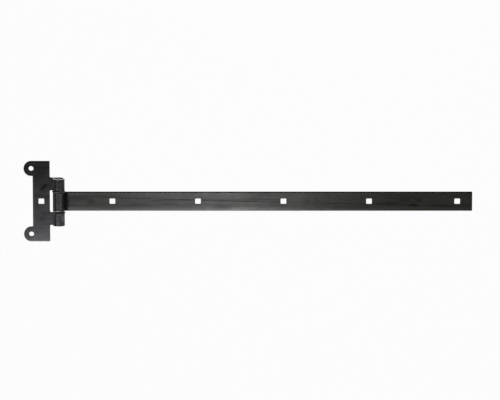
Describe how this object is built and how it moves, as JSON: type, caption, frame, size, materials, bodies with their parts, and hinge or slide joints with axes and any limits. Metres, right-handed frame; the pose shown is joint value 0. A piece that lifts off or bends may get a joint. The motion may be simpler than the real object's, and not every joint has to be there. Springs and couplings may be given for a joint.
{
  "type": "tee hinge",
  "caption": "Long flat strap on a rolled barrel hinge with a tall eared fixing plate, for hanging a door or gate.",
  "frame": {"origin": "on the wall plane, straight behind the middle of the pin", "axes": "+X along the strap away from the pin, +Y along the pin, +Z out of the wall"},
  "size_m": [0.868, 0.158, 0.025],
  "materials": {
    "black_paint": "semi-gloss black coating on rolled steel",
    "washer_steel": "black coated steel, worn at the rim",
    "pin_steel": "dull steel with hammered ends"
  },
  "bodies": {
    "plate": {"hinge_plate": "black_paint", "hinge_pin": "pin_steel", "upper_washer": "washer_steel", "lower_washer": "washer_steel"},
    "strap": {"strap": "black_paint"}
  },
  "joints": [
    {"name": "strap_swing", "type": "hinge", "parent": "plate", "child": "strap", "pos_m": [0, 0, 0.01155], "axis": [0, -1, 0], "range_deg": [-110, 190]}
  ]
}
